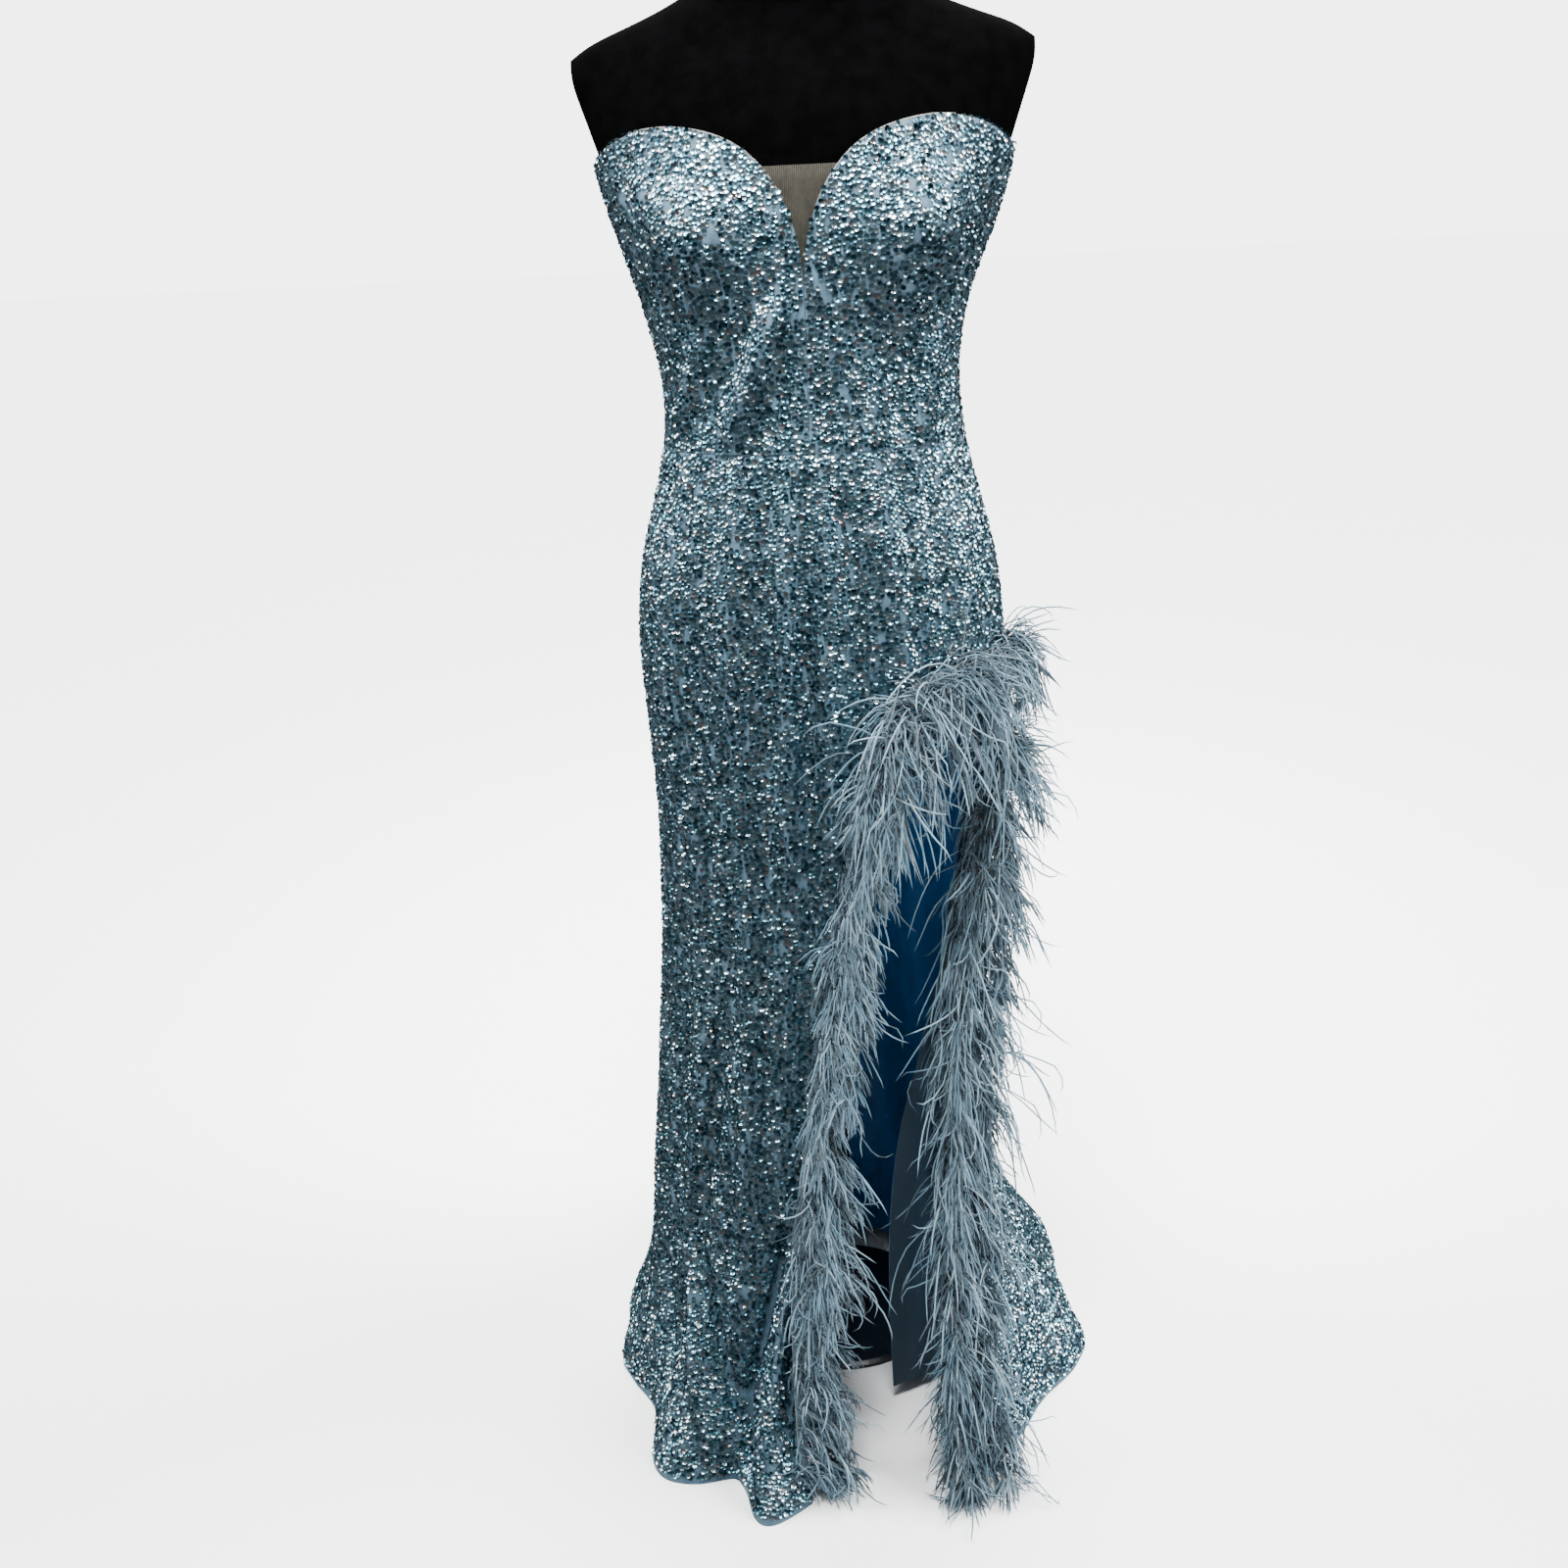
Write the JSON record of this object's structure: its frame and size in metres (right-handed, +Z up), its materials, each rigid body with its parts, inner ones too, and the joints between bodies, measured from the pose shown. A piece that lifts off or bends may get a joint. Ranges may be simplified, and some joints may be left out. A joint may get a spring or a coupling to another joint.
{
  "type": "prom dress on dress form",
  "caption": "strapless floor-length evening gown with sequin cloth, cupped bodice, feather-edged side slit and small train, standing on a limbless dress form with pole and round base",
  "frame": {"origin": "on the floor under the middle of the form, at the front-to-back middle of the waist", "axes": "+Z up, the front of the dress faces -Y, +X towards the wearer's left, the side of the slit"},
  "size_m": [0.5341, 0.7124, 1.464],
  "materials": {
    "sequin_cloth": "silver-blue sequins on net",
    "mesh_insert": "matt ribbed mesh",
    "lining": "soft satin",
    "feathers": "soft barbs on a tape",
    "form_velvet": "matt velvet",
    "stand_black": "gloss black",
    "collar_plastic": "gloss",
    "ring_metal": "polished",
    "zip_tape": "woven tape",
    "zip_metal": "polished"
  },
  "bodies": {
    "dress_and_form": {"form_torso": "form_velvet", "stand_base": "stand_black", "stand_pole": "stand_black", "stand_collar": "collar_plastic", "stand_ring": "ring_metal", "bodice_front_left": "sequin_cloth", "bodice_front_right": "sequin_cloth", "bodice_side_left": "sequin_cloth", "bodice_side_right": "sequin_cloth", "bodice_back_left": "sequin_cloth", "bodice_back_right": "sequin_cloth", "neckline_mesh_insert": "mesh_insert", "skirt_front": "sequin_cloth", "skirt_back_left": "sequin_cloth", "skirt_back_right": "sequin_cloth", "skirt_lining": "lining", "feather_trim_front": "feathers", "feather_trim_back": "feathers", "zip_tape": "zip_tape", "zip_slider": "zip_metal"},
    "zip_pull": {"zip_pull_tab": "zip_metal"}
  },
  "joints": [
    {"name": "zip_pull_hinge", "type": "hinge", "parent": "dress_and_form", "child": "zip_pull", "pos_m": [0, 0.10157, 1.212], "axis": [1, 0, 0], "range_deg": [0, 150]}
  ]
}
